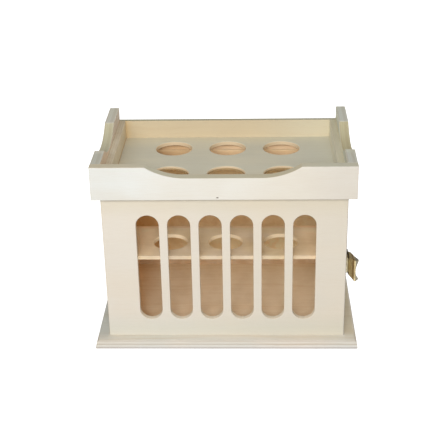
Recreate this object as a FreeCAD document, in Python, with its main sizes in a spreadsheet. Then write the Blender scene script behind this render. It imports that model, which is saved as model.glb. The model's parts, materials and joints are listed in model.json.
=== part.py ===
import FreeCAD, Part
import math
import os
import re
import Sketcher
from FreeCAD import Vector

# Wooden egg cabinet: a small plywood carcass on a moulded base board. Its front panel is cut with a row of
# round-ended slots, a scalloped gallery runs round the top, and the floor of that tray is an egg board with
# round seats. A half-depth egg shelf lies inside. The right-hand side is a frame with a full-height door on
# two surface hinges, held at its front edge by a trough-shaped lever latch.
#
# Axes: +X to the right seen from the front, +Y to the back, +Z up. The origin is the centre of the base
# board's underside. Millimetres. "Proud" sizes are measured outwards from the carcass's right face.

doc = FreeCAD.newDocument("EggCabinet")
sheet = doc.addObject("Spreadsheet::Sheet", "Sizes")

DRIVING = [
    # carcass
    ("carcass_width", 254.0, "outside of the two sides"),
    ("carcass_depth", 169.5, "front face of the front panel to the back"),
    ("carcass_top", 196.5, "top edge of the panels above the table"),
    ("side_thick", 9.5, "side panel and frame members"),
    ("door_thick", 9.0, "door, flush with the frame outside"),
    ("front_thick", 6.0, "front panel"),
    ("back_thick", 5.0, "back panel"),
    # base board
    ("base_thick", 9.5, "whole base board"),
    ("base_overhang", 14.0, "base board past the carcass, all round"),
    ("base_bead_tall", 4.2, "lower bead of the moulded edge"),
    ("base_step", 0.9, "upper member set in from the bead"),
    ("base_bead_round", 1.6, "rounding of the bead"),
    ("base_top_round", 3.4, "rounding of the upper member"),
    # slots of the front panel
    ("slot_count", 6, "slots in the row"),
    ("slot_width", 24.0, "width of one slot"),
    ("slot_tall", 123.5, "height of one slot"),
    ("slot_pitch", 32.6, "slot to slot"),
    ("slot_rise", 20.0, "foot of the slots above the panel's lower edge"),
    ("slot_shift", 1.5, "middle of the row, right of the cabinet's middle"),
    ("edge_round", 0.6, "softened edges of the cut wood"),
    ("corner_round", 1.1, "softened standing edges of the front panel"),
    # gallery boards round the tray
    ("gallery_drop", 22.0, "lower edge of the gallery below the top of the carcass"),
    ("gallery_tall", 36.0, "height of the gallery boards"),
    ("gallery_thick", 10.5, "thickness of the gallery boards"),
    ("gallery_overhang", 8.0, "gallery past the carcass's sides"),
    ("front_lap", 1.0, "rebate that laps the front panel"),
    ("scallop_deep", 12.0, "dip in the gallery's top edge"),
    ("scallop_radius", 74.3, "curve at each end of a dip"),
    ("front_flat_half", 38.5, "half the straight bottom of the front dip"),
    ("side_flat_half", 1.5, "half the straight bottom of a side dip"),
    ("side_dip_middle", 78.0, "middle of a side dip from the board's front end"),
    # egg board and shelf
    ("board_thick", 4.0, "egg board and egg shelf"),
    ("tray_lift", 1.0, "top of the egg board above the gallery's lower edge"),
    ("tray_seat_width", 40.5, "egg seats of the tray"),
    ("tray_seat_pitch", 60.5, "seat to seat along a row"),
    ("tray_row_first", 51.0, "front row from the board's front edge"),
    ("tray_row_last", 34.5, "back row from the board's back edge"),
    ("tray_seat_shift", 1.0, "middle of the rows, right of the cabinet's middle"),
    ("shelf_level", 103.0, "top of the egg shelf above the table"),
    ("shelf_deep", 72.5, "front to back of the egg shelf"),
    ("shelf_seat_width", 36.5, "egg seats of the shelf"),
    ("shelf_seat_pitch", 59.5, "seat to seat"),
    ("shelf_row", 33.5, "row of seats from the shelf's front edge"),
    ("seat_chamfer", 0.7, "broken edge round the mouth of a seat"),
    ("seat_count", 3, "seats along a row"),
    ("cleat", 8.0, "square section of the cleats and rails"),
    # door frame and door
    ("front_stile_wide", 17.5, "frame member behind the front panel"),
    ("rear_stile_wide", 14.0, "frame member in front of the back panel"),
    ("door_gap", 0.7, "gap round the door's standing edges"),
    ("door_lift", 1.0, "gap under and over the door"),
    # hinges
    ("hinge_tall", 22.0, "length of a hinge"),
    ("hinge_inset", 22.0, "end of the door to the near end of its hinge"),
    ("leaf_wide", 9.0, "hinge leaf from the pin"),
    ("leaf_thick", 0.8, "sheet of the hinges and latch plates"),
    ("knuckle_radius", 1.5, "hinge knuckle"),
    ("knuckle_gap", 0.2, "between the knuckles"),
    ("hinge_pin_radius", 0.7, "hinge pin"),
    ("pin_clear", 0.05, "a pin in its bore, all round"),
    ("leaf_clear", 0.1, "knuckle off the wood"),
    # round-headed pins that hold the brass
    ("nail_radius", 0.7, "shank"),
    ("nail_long", 6.5, "length under the head"),
    ("nail_head_radius", 1.4, "domed head"),
    ("nail_head_tall", 0.7, "domed head"),
    ("nail_hole_clear", 0.1, "hole in the brass round a shank"),
    ("nail_across", 5.6, "nail from the hinge pin"),
    ("nail_end", 5.0, "nail from the end of a hinge leaf"),
    ("latch_nail_back", 8.0, "nail from the latch pin"),
    ("latch_nail_half", 5.0, "nail above and below the latch's middle"),
    ("keeper_nail_half", 6.2, "nail above and below the keeper's middle"),
    # latch
    ("latch_level", 84.0, "middle of the latch above the table"),
    ("latch_back", 39.5, "latch pin from the front of the gallery"),
    ("latch_pin_proud", 3.1, "latch pin off the door's face"),
    ("latch_pin_radius", 0.8, "latch pin"),
    ("latch_pin_tall", 27.8, "latch pin, which stands out of the lever at both ends"),
    ("latch_plate_tall", 17.0, "latch plate, top to bottom"),
    ("latch_plate_long", 13.0, "latch plate behind the pin"),
    ("latch_plate_lead", 2.5, "latch plate in front of the pin"),
    ("ear_radius", 2.3, "ear round the latch pin"),
    ("ear_thick", 1.1, "ear of the latch plate"),
    ("ear_clear", 0.2, "ear to the lever's knuckle and cheeks"),
    ("lever_tail_half", 10.9, "half the width of the lever at its pin"),
    ("lever_tip_half", 13.0, "half the width of the lever at its front end"),
    ("lever_sheet", 0.9, "brass sheet of the lever"),
    ("lever_knuckle", 2.1, "rolled knuckle of the lever"),
    ("lever_flat", 10.5, "pin to the bend"),
    ("lever_reach", 24.5, "pin to the lever's front edge"),
    ("lever_rise", 6.2, "front edge of the lever above the bend"),
    ("lever_web_clear", 0.3, "back of the lever's web off the keeper's lip"),
    ("lever_tip_deep", 4.1, "side wall at the front end, outwards"),
    ("lever_tip_back", 4.2, "side wall's top corner behind the front edge"),
    ("lever_tail_deep", 3.0, "side wall at the pin, outwards"),
    ("lever_scoop", 3.2, "depth of the scoop in the end flange"),
    ("lever_scoop_half", 10.2, "half the width of the scoop"),
    ("lever_round", 1.3, "rolled corners between web, side walls and end flange"),
    ("keeper_tall", 18.0, "keeper plate, top to bottom"),
    ("keeper_long", 10.0, "keeper plate, front to back"),
    ("keeper_back", 30.5, "back edge of the keeper from the gallery's front"),
    ("keeper_lip", 2.5, "upstanding lip of the keeper"),
    ("keeper_nail_back", 4.5, "nail from the keeper's front edge"),
]

DERIVED = [
    ("half_width", "carcass_width / 2"),
    ("half_depth", "carcass_depth / 2"),
    ("gallery_front", "-half_depth + front_lap - gallery_thick"),
    ("gallery_bottom", "carcass_top - gallery_drop"),
    ("tray_level", "gallery_bottom + tray_lift"),
    ("panel_tall", "carcass_top - base_thick"),
    ("inner_width", "carcass_width - 2 * side_thick"),
    ("inner_half", "inner_width / 2"),
    ("inner_deep", "carcass_depth - front_thick - back_thick"),
    ("inner_front", "-half_depth + front_thick"),
    ("inner_back", "half_depth - back_thick"),
    ("base_width", "carcass_width + 2 * base_overhang"),
    ("base_deep", "carcass_depth + 2 * base_overhang"),
    ("base_far_x", "base_width - base_step"),
    ("base_far_y", "base_deep - base_step"),
    ("slot_radius", "slot_width / 2"),
    ("slot_first", "half_width + slot_shift - (slot_count - 1) * slot_pitch / 2"),
    ("slot_low", "slot_rise + slot_radius"),
    ("slot_high", "slot_rise + slot_tall - slot_radius"),
    ("slot_row", "(slot_count - 1) * slot_pitch"),
    ("gallery_width", "carcass_width + 2 * gallery_overhang"),
    ("side_board_long", "carcass_depth - front_lap"),
    ("side_board_front", "-half_depth + front_lap"),
    ("side_lap", "gallery_thick - gallery_overhang"),
    ("scallop_run", "sqrt(2 * scallop_radius * scallop_deep - scallop_deep * scallop_deep)"),
    ("scallop_floor", "gallery_tall - scallop_deep"),
    ("front_flat_from", "gallery_width / 2 - front_flat_half"),
    ("front_flat_to", "gallery_width / 2 + front_flat_half"),
    ("front_dip_from", "front_flat_from - scallop_run"),
    ("front_dip_to", "front_flat_to + scallop_run"),
    ("side_flat_from", "side_dip_middle - side_flat_half"),
    ("side_flat_to", "side_dip_middle + side_flat_half"),
    ("side_dip_from", "side_flat_from - scallop_run"),
    ("side_dip_to", "side_flat_to + scallop_run"),
    ("tray_seat_radius", "tray_seat_width / 2"),
    ("tray_seat_first", "inner_half + tray_seat_shift - (seat_count - 1) * tray_seat_pitch / 2"),
    ("tray_row_second", "inner_deep - tray_row_last"),
    ("tray_seat_row", "(seat_count - 1) * tray_seat_pitch"),
    ("shelf_seat_radius", "shelf_seat_width / 2"),
    ("shelf_seat_first", "inner_half - (seat_count - 1) * shelf_seat_pitch / 2"),
    ("shelf_seat_row", "(seat_count - 1) * shelf_seat_pitch"),
    ("tray_under", "tray_level - board_thick"),
    ("shelf_under", "shelf_level - board_thick"),
    ("stile_tall", "gallery_bottom - base_thick"),
    ("front_seam", "inner_front + front_stile_wide"),
    ("rear_seam", "inner_back - rear_stile_wide"),
    ("door_wide", "rear_seam - front_seam - 2 * door_gap"),
    ("door_tall", "stile_tall - 2 * door_lift"),
    ("door_bottom", "base_thick + door_lift"),
    ("hinge_axis_proud", "knuckle_radius + leaf_clear"),
    ("hinge_axis_back", "rear_seam - door_gap / 2"),
    ("hinge_bore", "hinge_pin_radius + pin_clear"),
    ("knuckle_tall", "(hinge_tall - 2 * knuckle_gap) / 3"),
    ("knuckle_step", "knuckle_tall + knuckle_gap"),
    ("knuckle_second", "2 * knuckle_step"),
    ("knuckle_middle_end", "knuckle_step + knuckle_tall"),
    ("nail_high", "hinge_tall - nail_end"),
    ("hinge_low", "door_bottom + hinge_inset"),
    ("hinge_high", "door_bottom + door_tall - hinge_inset - hinge_tall"),
    ("notch_reach", "knuckle_radius + knuckle_gap"),
    ("nail_hole", "nail_radius + nail_hole_clear"),
    ("nail_dome", "(nail_head_radius * nail_head_radius / nail_head_tall + nail_head_tall) / 2"),
    ("nail_dome_sink", "nail_dome - nail_head_tall"),
    ("nail_dome_from", "asin(nail_dome_sink / nail_dome)"),
    ("latch_bore", "latch_pin_radius + pin_clear"),
    ("latch_y", "gallery_front + latch_back"),
    ("latch_x", "half_width + latch_pin_proud"),
    ("ear_outer", "latch_plate_tall / 2"),
    ("ear_inner", "latch_plate_tall / 2 - ear_thick"),
    ("lever_knuckle_half", "ear_inner - ear_clear"),
    ("lever_inside", "lever_tail_half - lever_sheet"),
    ("lever_tip_inside", "lever_tip_half - lever_sheet"),
    ("web_back", "leaf_thick + keeper_lip + lever_web_clear - latch_pin_proud"),
    ("web_front", "web_back + lever_sheet"),
    ("web_tip_x", "web_back + lever_rise"),
    ("web_slope_run", "lever_reach - lever_flat"),
    ("web_slope", "sqrt(lever_rise * lever_rise + web_slope_run * web_slope_run)"),
    ("end_slope", "sqrt(lever_tip_deep * lever_tip_deep + lever_tip_back * lever_tip_back)"),
    ("end_sine", "(lever_rise * lever_tip_back + web_slope_run * lever_tip_deep) / (web_slope * end_slope)"),
    ("corner_wall", "lever_sheet / end_sine"),
    ("corner_x", "web_tip_x + corner_wall * (lever_tip_deep / end_slope - lever_rise / web_slope)"),
    ("corner_y", "corner_wall * (lever_tip_back / end_slope + web_slope_run / web_slope) - lever_reach"),
    ("wall_tip_x", "web_tip_x + lever_tip_deep"),
    ("wall_tip_y", "lever_tip_back - lever_reach"),
    ("wall_tail_x", "web_back + lever_tail_deep"),
    ("trough_x", "2 * wall_tip_x"),
    ("trough_y", "corner_y + (trough_x - corner_x) * lever_tip_back / lever_tip_deep"),
    ("frame_far", "2 * lever_reach"),
    ("ear_room", "ear_radius + ear_clear"),
    ("scoop_radius", "(lever_scoop_half * lever_scoop_half + lever_scoop * lever_scoop) / (2 * lever_scoop)"),
    ("scoop_x", "wall_tip_x - lever_scoop + scoop_radius"),
    ("keeper_half", "keeper_tall / 2"),
    ("keeper_top", "leaf_thick + keeper_lip"),
    ("lip_from", "keeper_long - leaf_thick"),
    ("keeper_front", "gallery_front + keeper_back - keeper_long"),
    ("front_lap_to", "gallery_overhang + carcass_width"),
]

ROWS = [(name, str(value), note) for name, value, note in DRIVING]
ROWS += [(name, "=" + formula, "worked out") for name, formula in DERIVED]
NAMES = [name for name, content, note in ROWS]
for row, (name, content, note) in enumerate(ROWS, 1):
    sheet.set(f"A{row}", name)
    sheet.set(f"B{row}", content)
    sheet.setAlias(f"B{row}", name)
    sheet.set(f"C{row}", note)
doc.recompute()

NAME_PATTERN = re.compile(r"\b(" + "|".join(sorted(NAMES, key=len, reverse=True)) + r")\b")
PARTS = []


def size(name):
    """Value of a cell; "-name" is its negative and None is zero."""
    if name is None:
        return 0.0
    if name.startswith("-"):
        return -size(name[1:])
    return float(getattr(sheet, name))


def bind(thing, prop, formula):
    """Bind a property to a formula written with the sheet's own names."""
    thing.setExpression(prop, NAME_PATTERN.sub(r"Sizes.\1", formula))


def place(thing, x="0", y="0", z="0"):
    """Bind the three coordinates of an object's place."""
    for axis, formula in zip("xyz", (x, y, z)):
        bind(thing, "Placement.Base." + axis, formula)


def sub_part(thing, name):
    """Register an object as a sub-part under its own label."""
    thing.Label = name
    PARTS.append(thing)
    return thing


def body(name):
    return sub_part(doc.addObject("PartDesign::Body", name), name)


def board(name, wide, deep, tall, x, y, z):
    """A plain squared board, placed by its low corner."""
    box = sub_part(doc.addObject("Part::Box", name), name)
    bind(box, "Length", wide)
    bind(box, "Width", deep)
    bind(box, "Height", tall)
    place(box, x, y, z)
    return box


def eased_board(name, wide, deep, tall, x, y, z, chosen):
    """A squared board with some of its edges softened; the test reads places from its low corner."""
    owner = body(name)
    block = owner.newObject("PartDesign::AdditiveBox", name + "_block")
    bind(block, "Length", wide)
    bind(block, "Width", deep)
    bind(block, "Height", tall)
    dress(owner, "Fillet", "edge_round", block, chosen)
    place(owner, x, y, z)


def sketch_on(owner, role, offset=None):
    """A sketch on one of the body's own origin planes, moved along its normal by a formula."""
    plane = next(item for item in owner.Origin.OriginFeatures if item.Role == role)
    sketch = owner.newObject("Sketcher::SketchObject", owner.Name + "_sketch")
    sketch.AttachmentSupport = [(plane, "")]
    sketch.MapMode = "FlatFace"
    if offset is not None:
        bind(sketch, "AttachmentOffset.Base.z", offset)
    return sketch


def drive(sketch, kind, args, name):
    """Add a dimension and bind it to a cell."""
    index = sketch.addConstraint(Sketcher.Constraint(kind, *args, size(name)))
    bind(sketch, f"Constraints[{index}]", name)


def pin_point(sketch, edge, end, x, y):
    """Fix a point of the sketch at two cells; None puts it on the axis."""
    if x is None:
        sketch.addConstraint(Sketcher.Constraint("PointOnObject", edge, end, -2))
    else:
        drive(sketch, "DistanceX", (-1, 1, edge, end), x)
    if y is None:
        sketch.addConstraint(Sketcher.Constraint("PointOnObject", edge, end, -1))
    else:
        drive(sketch, "DistanceY", (-1, 1, edge, end), y)


def polygon(sketch, corners):
    """Closed straight outline through pairs of cell names."""
    points = [Vector(size(x), size(y), 0) for x, y in corners]
    first = sketch.GeometryCount
    count = len(points)
    for start, end in zip(points, points[1:] + points[:1]):
        sketch.addGeometry(Part.LineSegment(start, end), False)
    for index, (x, y) in enumerate(corners):
        following = first + (index + 1) % count
        sketch.addConstraint(Sketcher.Constraint("Coincident", first + index, 2, following, 1))
        pin_point(sketch, first + index, 1, x, y)


def circle(sketch, x, y, radius):
    centre = Vector(size(x), size(y), 0)
    edge = sketch.addGeometry(Part.Circle(centre, Vector(0, 0, 1), size(radius)), False)
    drive(sketch, "Radius", (edge,), radius)
    if x is None and y is None:
        sketch.addConstraint(Sketcher.Constraint("Coincident", edge, 3, -1, 1))
    else:
        pin_point(sketch, edge, 3, x, y)


def pad(owner, sketch, length, back=False, both=False):
    feature = owner.newObject("PartDesign::Pad", owner.Name + "_pad")
    feature.Profile = sketch
    bind(feature, "Length", length)
    feature.Reversed = back
    if both:
        feature.SideType = "Symmetric"
    return feature


def pocket(owner, sketch, length=None, back=False, both=False):
    """Cut a sketch out, by a length or right through."""
    feature = owner.newObject("PartDesign::Pocket", owner.Name + "_pocket")
    feature.Profile = sketch
    if length is None:
        feature.Type = "ThroughAll"
    else:
        bind(feature, "Length", length)
    feature.Reversed = back
    if both:
        feature.SideType = "Symmetric"
    return feature


def repeat(owner, feature, sketch, length, count):
    """Repeat a cut along its sketch's horizontal axis."""
    pattern = owner.newObject("PartDesign::LinearPattern", owner.Name + "_row")
    pattern.Originals = [feature]
    pattern.Direction = (sketch, ["H_Axis"])
    bind(pattern, "Length", length)
    bind(pattern, "Occurrences", count)
    owner.Tip = pattern
    return pattern


def dress(owner, kind, measure, base, chosen):
    """Fillet or chamfer the edges of a feature that a test picks."""
    doc.recompute()
    edges = [f"Edge{n}" for n, edge in enumerate(base.Shape.Edges, 1) if chosen(edge)]
    feature = owner.newObject("PartDesign::" + kind, owner.Name + "_" + kind.lower())
    feature.Base = (base, edges)
    bind(feature, "Radius" if kind == "Fillet" else "Size", measure)
    owner.Tip = feature
    return feature


def flat_at(edge, axis, level):
    """True where the whole edge lies at one level of an axis."""
    box = edge.BoundBox
    low = getattr(box, axis + "Min")
    high = getattr(box, axis + "Max")
    return abs(low - level) < 0.001 and abs(high - level) < 0.001


# ---- base board ------------------------------------------------------------------------------------------

def base_board():
    """Lower bead and upper member of the moulded edge, one on the other."""
    base = body("base_board")
    lower = sketch_on(base, "XY_Plane")
    polygon(lower, [(None, None), ("base_width", None), ("base_width", "base_deep"), (None, "base_deep")])
    bead = pad(base, lower, "base_bead_tall")
    dress(base, "Fillet", "base_bead_round", bead, lambda edge: edge.BoundBox.ZLength < 0.001)
    upper = sketch_on(base, "XY_Plane", "base_bead_tall")
    polygon(upper, [("base_step", "base_step"), ("base_far_x", "base_step"),
                    ("base_far_x", "base_far_y"), ("base_step", "base_far_y")])
    top = pad(base, upper, "base_thick - base_bead_tall")
    dress(base, "Fillet", "base_top_round", top, lambda edge: flat_at(edge, "Z", size("base_thick")))
    place(base, "-base_width / 2", "-base_deep / 2")


# ---- carcass ---------------------------------------------------------------------------------------------

def slot(sketch):
    """Round-ended upright slot: two half circles joined by two lines."""
    x, low, high, radius = (size(name) for name in ("slot_first", "slot_low", "slot_high", "slot_radius"))
    up = Vector(0, 0, 1)
    head = Part.ArcOfCircle(Part.Circle(Vector(x, high, 0), up, radius), 0, math.pi)
    foot = Part.ArcOfCircle(Part.Circle(Vector(x, low, 0), up, radius), math.pi, 2 * math.pi)
    left = Part.LineSegment(Vector(x - radius, high, 0), Vector(x - radius, low, 0))
    right = Part.LineSegment(Vector(x + radius, low, 0), Vector(x + radius, high, 0))
    for edge in (head, left, foot, right):
        sketch.addGeometry(edge, False)
    for edge in range(4):
        sketch.addConstraint(Sketcher.Constraint("Tangent", edge, 2, (edge + 1) % 4, 1))
    drive(sketch, "Radius", (0,), "slot_radius")
    pin_point(sketch, 0, 3, "slot_first", "slot_high")
    pin_point(sketch, 2, 3, "slot_first", "slot_low")


def front_panel():
    panel = body("front_panel")
    outline = sketch_on(panel, "XZ_Plane")
    polygon(outline, [(None, None), ("carcass_width", None), ("carcass_width", "panel_tall"),
                      (None, "panel_tall")])
    pad(panel, outline, "front_thick", back=True)
    opening = sketch_on(panel, "XZ_Plane")
    slot(opening)
    cut = pocket(panel, opening)
    doc.recompute()
    row = repeat(panel, cut, opening, "slot_row", "slot_count")
    wide, tall = size("carcass_width"), size("panel_tall")

    def rim(edge):
        centre = edge.CenterOfMass
        return flat_at(edge, "Y", 0) and 0.001 < centre.x < wide - 0.001 and 0.001 < centre.z < tall - 0.001

    softened = dress(panel, "Fillet", "edge_round", row, rim)
    dress(panel, "Fillet", "corner_round", softened,
          lambda edge: flat_at(edge, "Y", 0) and (flat_at(edge, "X", 0) or flat_at(edge, "X", wide)))
    place(panel, "-half_width", "-half_depth", "base_thick")


def carcass():
    """Sides, back and door; the edges that hands and the door pass are softened."""
    side, back, panel_top = size("side_thick"), size("back_thick"), size("panel_tall")
    eased_board("back_panel", "carcass_width", "back_thick", "panel_tall", "-half_width", "inner_back",
                "base_thick", lambda edge: (flat_at(edge, "Y", back) and edge.CenterOfMass.z > back)
                or (flat_at(edge, "Y", 0) and flat_at(edge, "Z", panel_top)))
    eased_board("left_side_panel", "side_thick", "inner_deep", "panel_tall", "-half_width", "inner_front",
                "base_thick", lambda edge: flat_at(edge, "X", side) and flat_at(edge, "Z", panel_top))
    eased_board("right_top_rail", "side_thick", "inner_deep", "gallery_drop", "inner_half", "inner_front",
                "gallery_bottom", lambda edge: (flat_at(edge, "X", side) and flat_at(edge, "Z", 0))
                or (flat_at(edge, "X", 0) and flat_at(edge, "Z", size("gallery_drop"))))
    eased_board("right_front_stile", "side_thick", "front_stile_wide", "stile_tall", "inner_half",
                "inner_front", "base_thick",
                lambda edge: flat_at(edge, "X", side) and flat_at(edge, "Y", size("front_stile_wide")))
    eased_board("right_rear_stile", "side_thick", "rear_stile_wide", "stile_tall", "inner_half", "rear_seam",
                "base_thick", lambda edge: flat_at(edge, "X", side) and flat_at(edge, "Y", 0))
    eased_board("side_door", "door_thick", "door_wide", "door_tall", "half_width - door_thick",
                "front_seam + door_gap", "door_bottom", lambda edge: flat_at(edge, "X", size("door_thick")))


def cleats():
    """Strips that carry the egg board all round, and the two rails that carry the shelf."""
    level = "tray_under - cleat"
    between = "inner_width - 2 * cleat"
    board("tray_cleat_left", "cleat", "inner_deep", "cleat", "-inner_half", "inner_front", level)
    board("tray_cleat_right", "cleat", "inner_deep", "cleat", "inner_half - cleat", "inner_front", level)
    board("tray_cleat_front", between, "cleat", "cleat", "-inner_half + cleat", "inner_front", level)
    board("tray_cleat_back", between, "cleat", "cleat", "-inner_half + cleat", "inner_back - cleat", level)
    level = "shelf_under - cleat"
    board("shelf_rail_left", "cleat", "inner_deep", "cleat", "-inner_half", "inner_front", level)
    board("shelf_rail_right", "cleat", "inner_deep", "cleat", "inner_half - cleat", "inner_front", level)


# ---- gallery boards --------------------------------------------------------------------------------------

def scalloped_outline(sketch, length, dip_from, flat_from, flat_to, dip_to):
    """Board seen from its face: a straight lower edge, and a dip with a curve at each end on top."""
    corners = [(None, None), (length, None), (length, "gallery_tall"), (dip_to, "gallery_tall"),
               (flat_to, "scallop_floor"), (flat_from, "scallop_floor"), (dip_from, "gallery_tall"),
               (None, "gallery_tall")]
    points = [Vector(size(x), size(y), 0) for x, y in corners]
    radius = size("scallop_radius")
    swing = math.atan2(size("scallop_deep") - radius, size("scallop_run"))
    up = Vector(0, 0, 1)
    lift = Vector(0, radius, 0)
    right_curve = Part.ArcOfCircle(Part.Circle(points[4] + lift, up, radius), -math.pi / 2, swing)
    left_curve = Part.ArcOfCircle(Part.Circle(points[5] + lift, up, radius), -math.pi - swing, -math.pi / 2)
    edges = [Part.LineSegment(start, end) for start, end in zip(points, points[1:] + points[:1])]
    foot, right_end, right_top, right, flat, left, left_top, left_end = range(len(edges))
    edges[right] = right_curve
    edges[left] = left_curve
    for edge in edges:
        sketch.addGeometry(edge, False)
    ends = [(foot, 2, right_end, 1), (right_end, 2, right_top, 1), (right_top, 2, right, 2),
            (right, 1, flat, 1), (flat, 2, left, 2), (left, 1, left_top, 1), (left_top, 2, left_end, 1),
            (left_end, 2, foot, 1)]
    for joint in ends:
        sketch.addConstraint(Sketcher.Constraint("Coincident", *joint))
    for edge in (foot, right_end, right_top, flat, left_top, left_end):
        pin_point(sketch, edge, 1, *corners[edge])
    pin_point(sketch, right_top, 2, *corners[right])
    pin_point(sketch, flat, 2, *corners[left])
    drive(sketch, "Radius", (right,), "scallop_radius")
    drive(sketch, "Radius", (left,), "scallop_radius")


def soften(owner, base, axis, outer, inner):
    """Round the upper edges of a gallery board and, on the front board, its whole outer outline."""
    top = size("scallop_floor") - size("edge_round")
    whole = axis == "Y"

    def chosen(edge):
        high = edge.CenterOfMass.z > top
        return (flat_at(edge, axis, outer) and (high or whole)) or (flat_at(edge, axis, inner) and high)

    dress(owner, "Fillet", "edge_round", base, chosen)


def front_gallery():
    gallery = body("tray_front_board")
    outline = sketch_on(gallery, "XZ_Plane")
    scalloped_outline(outline, "gallery_width", "front_dip_from", "front_flat_from", "front_flat_to",
                      "front_dip_to")
    pad(gallery, outline, "gallery_thick", back=True)
    lap = sketch_on(gallery, "XZ_Plane", "-gallery_thick")
    polygon(lap, [("gallery_overhang", None), ("front_lap_to", None), ("front_lap_to", "gallery_drop"),
                  ("gallery_overhang", "gallery_drop")])
    rebate = pocket(gallery, lap, "front_lap", back=True)
    soften(gallery, rebate, "Y", 0, size("gallery_thick"))
    place(gallery, "-gallery_width / 2", "gallery_front", "gallery_bottom")


def side_gallery(name, right):
    """Side board, drawn from its inner face; the rebate hooks over the carcass's top edge."""
    gallery = body(name)
    outline = sketch_on(gallery, "YZ_Plane")
    scalloped_outline(outline, "side_board_long", "side_dip_from", "side_flat_from", "side_flat_to",
                      "side_dip_to")
    pad(gallery, outline, "gallery_thick", back=not right)
    lap = sketch_on(gallery, "YZ_Plane")
    polygon(lap, [(None, None), ("side_board_long", None), ("side_board_long", "gallery_drop"),
                  (None, "gallery_drop")])
    rebate = pocket(gallery, lap, "side_lap", back=right)
    soften(gallery, rebate, "X", size("gallery_thick") if right else -size("gallery_thick"), 0)
    sign = "" if right else "-"
    place(gallery, f"{sign}(half_width - side_lap)", "side_board_front", "gallery_bottom")


# ---- egg board and shelf ---------------------------------------------------------------------------------

def egg_board(name, wide, deep, first, rows, radius, row_length, level):
    """Thin board with rows of round seats, their upper mouths chamfered."""
    owner = body(name)
    outline = sketch_on(owner, "XY_Plane")
    polygon(outline, [(None, None), (wide, None), (wide, deep), (None, deep)])
    pad(owner, outline, "board_thick")
    seats = sketch_on(owner, "XY_Plane")
    for row in rows:
        circle(seats, first, row, radius)
    cut = pocket(owner, seats, back=True)
    doc.recompute()
    pattern = repeat(owner, cut, seats, row_length, "seat_count")
    dress(owner, "Chamfer", "seat_chamfer", pattern,
          lambda edge: edge.Curve.TypeId == "Part::GeomCircle" and flat_at(edge, "Z", size("board_thick")))
    place(owner, "-inner_half", "inner_front", level + " - board_thick")


# ---- hinges ----------------------------------------------------------------------------------------------

def hinge_leaf(name, door_side, foot):
    """Leaf of a surface hinge about its own pin axis. The door's leaf has the two end knuckles, the frame's
    leaf the middle one, and each plate is notched where the other's knuckles turn."""
    owner = body(name)
    side = "-" if door_side else ""
    plate = sketch_on(owner, "YZ_Plane", "-hinge_axis_proud")
    polygon(plate, [(None, None), (side + "leaf_wide", None), (side + "leaf_wide", "hinge_tall"),
                    (None, "hinge_tall")])
    pad(owner, plate, "leaf_thick")
    for low, high in [("knuckle_tall", "knuckle_second")] if door_side else [
            (None, "knuckle_step"), ("knuckle_middle_end", "hinge_tall")]:
        notch = sketch_on(owner, "YZ_Plane", "-hinge_axis_proud")
        polygon(notch, [(None, low), (side + "notch_reach", low), (side + "notch_reach", high),
                        (None, high)])
        pocket(owner, notch, "leaf_thick", back=True)
    for start in ("0", "knuckle_second") if door_side else ("knuckle_step",):
        ring = sketch_on(owner, "XY_Plane", start)
        circle(ring, None, None, "knuckle_radius")
        pad(owner, ring, "knuckle_tall")
    bore = sketch_on(owner, "XY_Plane")
    circle(bore, None, None, "hinge_bore")
    pocket(owner, bore, back=True)
    holes = sketch_on(owner, "YZ_Plane", "-hinge_axis_proud")
    for rise in ("nail_end", "nail_high"):
        circle(holes, side + "nail_across", rise, "nail_hole")
    pocket(owner, holes, "leaf_thick", back=True)
    place(owner, "half_width + hinge_axis_proud", "hinge_axis_back", foot)


def round_pin(name, radius, length, x, y, z):
    """Plain upright pin."""
    pin = sub_part(doc.addObject("Part::Cylinder", name), name)
    bind(pin, "Radius", radius)
    bind(pin, "Height", length)
    place(pin, x, y, z)


def nails(name, places):
    """Group of round-headed nails driven into the right-hand side through the brass."""
    group = []
    outwards = FreeCAD.Rotation(Vector(0, 1, 0), 90)
    tail, dome = "half_width - nail_long", "half_width + leaf_thick - nail_dome_sink"
    for number, (back, up) in enumerate(places, 1):
        shank = doc.addObject("Part::Cylinder", f"{name}_shank_{number}")
        head = doc.addObject("Part::Sphere", f"{name}_head_{number}")
        bind(shank, "Radius", "nail_radius")
        bind(shank, "Height", "nail_long + leaf_thick")
        bind(head, "Radius", "nail_dome")
        bind(head, "Angle1", "nail_dome_from")
        for piece, proud in ((shank, tail), (head, dome)):
            piece.Placement = FreeCAD.Placement(Vector(), outwards)
            place(piece, proud, back, up)
        nail = doc.addObject("Part::MultiFuse", f"{name}_{number}")
        nail.Shapes = [shank, head]
        group.append(nail)
    compound = sub_part(doc.addObject("Part::Compound", name), name)
    compound.Links = group


def hinges():
    for word, foot in (("lower", "hinge_low"), ("upper", "hinge_high")):
        hinge_leaf(f"{word}_hinge_door_leaf", True, foot)
        hinge_leaf(f"{word}_hinge_frame_leaf", False, foot)
        round_pin(f"{word}_hinge_pin", "hinge_pin_radius", "hinge_tall", "half_width + hinge_axis_proud",
                  "hinge_axis_back", foot)
    feet, rises = ("hinge_low", "hinge_high"), ("nail_end", "nail_high")
    levels = [foot + " + " + rise for foot in feet for rise in rises]
    nails("hinge_door_nails", [("hinge_axis_back - nail_across", level) for level in levels])
    nails("hinge_frame_nails", [("hinge_axis_back + nail_across", level) for level in levels])


# ---- latch -----------------------------------------------------------------------------------------------
# The latch's pieces are drawn about the lever's pin: +X stands proud of the door, -Y points to the front.

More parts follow.
